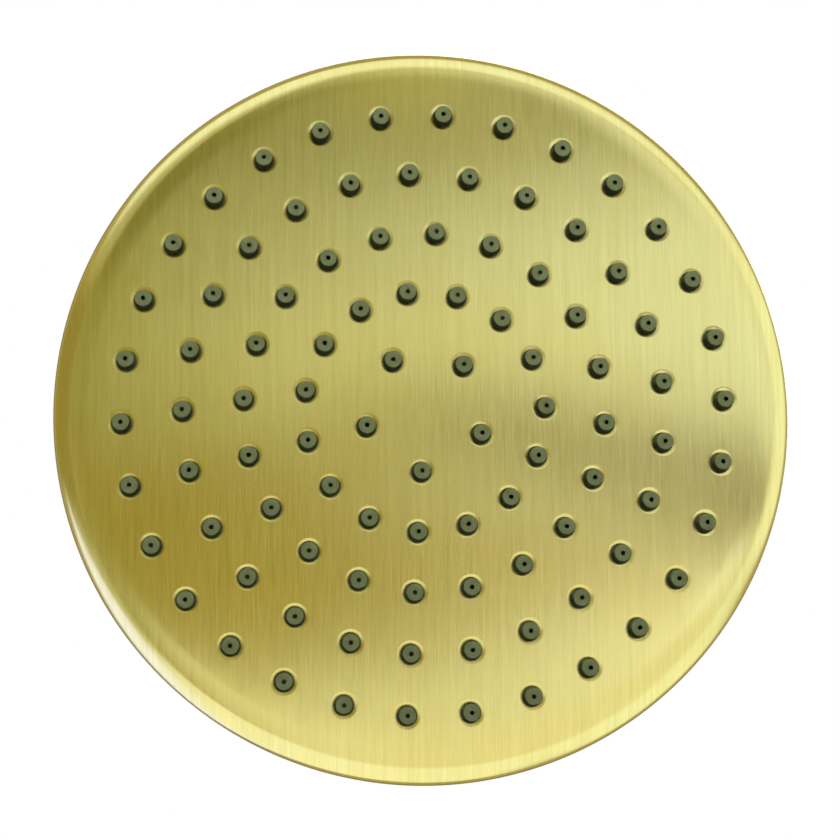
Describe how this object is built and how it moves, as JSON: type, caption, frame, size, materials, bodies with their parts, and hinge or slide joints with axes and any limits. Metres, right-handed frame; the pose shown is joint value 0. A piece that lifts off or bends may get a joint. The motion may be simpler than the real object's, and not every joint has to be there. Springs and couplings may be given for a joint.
{
  "type": "rain shower head",
  "caption": "Round rain shower head: brushed metal face with dished holes for silicone nozzles, rolled rim, low domed back and a ball swivel with a threaded inlet.",
  "frame": {"origin": "on the inlet's axis where its thread begins, just inside the mouth of the socket", "axes": "+Z up along the inlet's axis, out of its mouth, with the spray face down at -Z; seen from below as in the picture, +X is to the right and -Y is up, and the brushing runs along Y"},
  "size_m": [0.2, 0.2, 0.061],
  "materials": {
    "brushed_brass": "brushed",
    "turned_brass": "satin",
    "nozzle_silicone": "matte",
    "liner_plastic": "satin",
    "seal_rubber": "matte",
    "restrictor_plastic": "matte",
    "wire_mesh": "woven"
  },
  "bodies": {
    "inlet": {"swivel_ball": "turned_brass", "flow_restrictor": "restrictor_plastic", "inlet_washer": "seal_rubber", "filter_screen": "wire_mesh"},
    "upper_liner": {"neck_ring": "liner_plastic"},
    "lower_liner": {"ball_seal": "seal_rubber"},
    "head": {"face_plate": "brushed_brass", "nozzle_mat": "nozzle_silicone", "back_shell": "brushed_brass", "inlet_cup": "turned_brass", "ball_nut": "turned_brass"}
  },
  "joints": [
    {"name": "swivel_spin", "type": "hinge", "parent": "inlet", "child": "upper_liner", "pos_m": [0, 0, -0.032], "axis": [0, 0, 1], "continuous": true},
    {"name": "swivel_tilt_x", "type": "hinge", "parent": "upper_liner", "child": "lower_liner", "pos_m": [0, 0, -0.032], "axis": [1, 0, 0], "range_deg": [-12, 12]},
    {"name": "swivel_tilt_y", "type": "hinge", "parent": "lower_liner", "child": "head", "pos_m": [0, 0, -0.032], "axis": [0, 1, 0], "range_deg": [-12, 12]}
  ]
}
